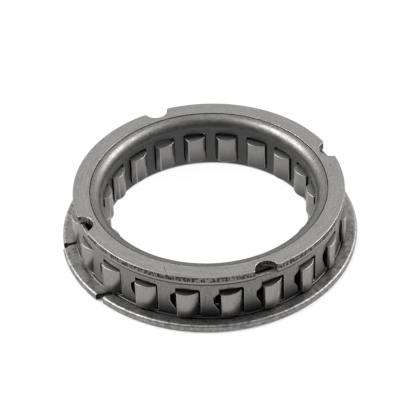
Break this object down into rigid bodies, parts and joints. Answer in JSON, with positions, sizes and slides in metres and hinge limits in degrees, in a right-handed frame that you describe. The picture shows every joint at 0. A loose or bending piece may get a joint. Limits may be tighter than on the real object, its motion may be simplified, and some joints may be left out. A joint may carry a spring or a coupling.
{
  "type": "sprag clutch",
  "caption": "Double-cage sprag clutch: leaning cam sprags held by a ribbon spring between a flanged outer cage and a flared inner cage, under a notched end ring.",
  "frame": {"origin": "on the clutch's axis, level with the lower edge of the flange's turned rim", "axes": "+Z along the axis, from the flange to the end ring; +X is to the right in the picture and -Y faces its camera"},
  "size_m": [0.0692, 0.0692, 0.0135],
  "materials": {
    "ring_steel": "brushed flat stamping, sheared edge",
    "cage_steel": "drawn sheet, satin",
    "sprag_steel": "ground cams, satin",
    "spring_steel": "rolled strip, satin"
  },
  "bodies": {
    "outer_cage": {"outer_cage": "cage_steel", "end_ring": "ring_steel"},
    "inner_cage": {"inner_cage": "cage_steel"},
    "ribbon_spring": {"ribbon_spring": "spring_steel"},
    "sprag_01": {"sprag_01": "sprag_steel"},
    "sprag_02": {"sprag_02": "sprag_steel"},
    "sprag_03": {"sprag_03": "sprag_steel"},
    "sprag_04": {"sprag_04": "sprag_steel"},
    "sprag_05": {"sprag_05": "sprag_steel"},
    "sprag_06": {"sprag_06": "sprag_steel"},
    "sprag_07": {"sprag_07": "sprag_steel"},
    "sprag_08": {"sprag_08": "sprag_steel"},
    "sprag_09": {"sprag_09": "sprag_steel"},
    "sprag_10": {"sprag_10": "sprag_steel"},
    "sprag_11": {"sprag_11": "sprag_steel"},
    "sprag_12": {"sprag_12": "sprag_steel"},
    "sprag_13": {"sprag_13": "sprag_steel"},
    "sprag_14": {"sprag_14": "sprag_steel"},
    "sprag_15": {"sprag_15": "sprag_steel"},
    "sprag_16": {"sprag_16": "sprag_steel"},
    "sprag_17": {"sprag_17": "sprag_steel"},
    "sprag_18": {"sprag_18": "sprag_steel"},
    "sprag_19": {"sprag_19": "sprag_steel"},
    "sprag_20": {"sprag_20": "sprag_steel"}
  },
  "joints": [
    {"name": "inner_cage_turn", "type": "hinge", "parent": "outer_cage", "child": "inner_cage", "pos_m": [0, 0, 0], "axis": [0, 0, 1], "range_deg": [-0.43, 1.71]},
    {"name": "ribbon_spring_turn", "type": "hinge", "parent": "outer_cage", "child": "ribbon_spring", "pos_m": [0, 0, 0], "axis": [0, 0, 1], "range_deg": [-1, 1]},
    {"name": "sprag_01_tilt", "type": "hinge", "parent": "outer_cage", "child": "sprag_01", "pos_m": [0.0304, 0.00392, 0.00525], "axis": [0, 0, 1], "range_deg": [-8, 2]},
    {"name": "sprag_02_tilt", "type": "hinge", "parent": "outer_cage", "child": "sprag_02", "pos_m": [0.0277, 0.01312, 0.00525], "axis": [0, 0, 1], "range_deg": [-8, 2]},
    {"name": "sprag_03_tilt", "type": "hinge", "parent": "outer_cage", "child": "sprag_03", "pos_m": [0.02229, 0.02104, 0.00525], "axis": [0, 0, 1], "range_deg": [-8, 2]},
    {"name": "sprag_04_tilt", "type": "hinge", "parent": "outer_cage", "child": "sprag_04", "pos_m": [0.0147, 0.0269, 0.00525], "axis": [0, 0, 1], "range_deg": [-8, 2]},
    {"name": "sprag_05_tilt", "type": "hinge", "parent": "outer_cage", "child": "sprag_05", "pos_m": [0.00566, 0.03012, 0.00525], "axis": [0, 0, 1], "range_deg": [-8, 2]},
    {"name": "sprag_06_tilt", "type": "hinge", "parent": "outer_cage", "child": "sprag_06", "pos_m": [-0.00392, 0.0304, 0.00525], "axis": [0, 0, 1], "range_deg": [-8, 2]},
    {"name": "sprag_07_tilt", "type": "hinge", "parent": "outer_cage", "child": "sprag_07", "pos_m": [-0.01312, 0.0277, 0.00525], "axis": [0, 0, 1], "range_deg": [-8, 2]},
    {"name": "sprag_08_tilt", "type": "hinge", "parent": "outer_cage", "child": "sprag_08", "pos_m": [-0.02104, 0.02229, 0.00525], "axis": [0, 0, 1], "range_deg": [-8, 2]},
    {"name": "sprag_09_tilt", "type": "hinge", "parent": "outer_cage", "child": "sprag_09", "pos_m": [-0.0269, 0.0147, 0.00525], "axis": [0, 0, 1], "range_deg": [-8, 2]},
    {"name": "sprag_10_tilt", "type": "hinge", "parent": "outer_cage", "child": "sprag_10", "pos_m": [-0.03012, 0.00566, 0.00525], "axis": [0, 0, 1], "range_deg": [-8, 2]},
    {"name": "sprag_11_tilt", "type": "hinge", "parent": "outer_cage", "child": "sprag_11", "pos_m": [-0.0304, -0.00392, 0.00525], "axis": [0, 0, 1], "range_deg": [-8, 2]},
    {"name": "sprag_12_tilt", "type": "hinge", "parent": "outer_cage", "child": "sprag_12", "pos_m": [-0.0277, -0.01312, 0.00525], "axis": [0, 0, 1], "range_deg": [-8, 2]},
    {"name": "sprag_13_tilt", "type": "hinge", "parent": "outer_cage", "child": "sprag_13", "pos_m": [-0.02229, -0.02104, 0.00525], "axis": [0, 0, 1], "range_deg": [-8, 2]},
    {"name": "sprag_14_tilt", "type": "hinge", "parent": "outer_cage", "child": "sprag_14", "pos_m": [-0.0147, -0.0269, 0.00525], "axis": [0, 0, 1], "range_deg": [-8, 2]},
    {"name": "sprag_15_tilt", "type": "hinge", "parent": "outer_cage", "child": "sprag_15", "pos_m": [-0.00566, -0.03012, 0.00525], "axis": [0, 0, 1], "range_deg": [-8, 2]},
    {"name": "sprag_16_tilt", "type": "hinge", "parent": "outer_cage", "child": "sprag_16", "pos_m": [0.00392, -0.0304, 0.00525], "axis": [0, 0, 1], "range_deg": [-8, 2]},
    {"name": "sprag_17_tilt", "type": "hinge", "parent": "outer_cage", "child": "sprag_17", "pos_m": [0.01312, -0.0277, 0.00525], "axis": [0, 0, 1], "range_deg": [-8, 2]},
    {"name": "sprag_18_tilt", "type": "hinge", "parent": "outer_cage", "child": "sprag_18", "pos_m": [0.02104, -0.02229, 0.00525], "axis": [0, 0, 1], "range_deg": [-8, 2]},
    {"name": "sprag_19_tilt", "type": "hinge", "parent": "outer_cage", "child": "sprag_19", "pos_m": [0.0269, -0.0147, 0.00525], "axis": [0, 0, 1], "range_deg": [-8, 2]},
    {"name": "sprag_20_tilt", "type": "hinge", "parent": "outer_cage", "child": "sprag_20", "pos_m": [0.03012, -0.00566, 0.00525], "axis": [0, 0, 1], "range_deg": [-8, 2]}
  ],
  "couplings": [
    {"joint": "ribbon_spring_turn", "follows": "inner_cage_turn", "ratio": 0.5073},
    {"joint": "sprag_01_tilt", "follows": "inner_cage_turn", "ratio": -4.6759},
    {"joint": "sprag_02_tilt", "follows": "inner_cage_turn", "ratio": -4.6759},
    {"joint": "sprag_03_tilt", "follows": "inner_cage_turn", "ratio": -4.6759},
    {"joint": "sprag_04_tilt", "follows": "inner_cage_turn", "ratio": -4.6759},
    {"joint": "sprag_05_tilt", "follows": "inner_cage_turn", "ratio": -4.6759},
    {"joint": "sprag_06_tilt", "follows": "inner_cage_turn", "ratio": -4.6759},
    {"joint": "sprag_07_tilt", "follows": "inner_cage_turn", "ratio": -4.6759},
    {"joint": "sprag_08_tilt", "follows": "inner_cage_turn", "ratio": -4.6759},
    {"joint": "sprag_09_tilt", "follows": "inner_cage_turn", "ratio": -4.6759},
    {"joint": "sprag_10_tilt", "follows": "inner_cage_turn", "ratio": -4.6759},
    {"joint": "sprag_11_tilt", "follows": "inner_cage_turn", "ratio": -4.6759},
    {"joint": "sprag_12_tilt", "follows": "inner_cage_turn", "ratio": -4.6759},
    {"joint": "sprag_13_tilt", "follows": "inner_cage_turn", "ratio": -4.6759},
    {"joint": "sprag_14_tilt", "follows": "inner_cage_turn", "ratio": -4.6759},
    {"joint": "sprag_15_tilt", "follows": "inner_cage_turn", "ratio": -4.6759},
    {"joint": "sprag_16_tilt", "follows": "inner_cage_turn", "ratio": -4.6759},
    {"joint": "sprag_17_tilt", "follows": "inner_cage_turn", "ratio": -4.6759},
    {"joint": "sprag_18_tilt", "follows": "inner_cage_turn", "ratio": -4.6759},
    {"joint": "sprag_19_tilt", "follows": "inner_cage_turn", "ratio": -4.6759},
    {"joint": "sprag_20_tilt", "follows": "inner_cage_turn", "ratio": -4.6759}
  ]
}
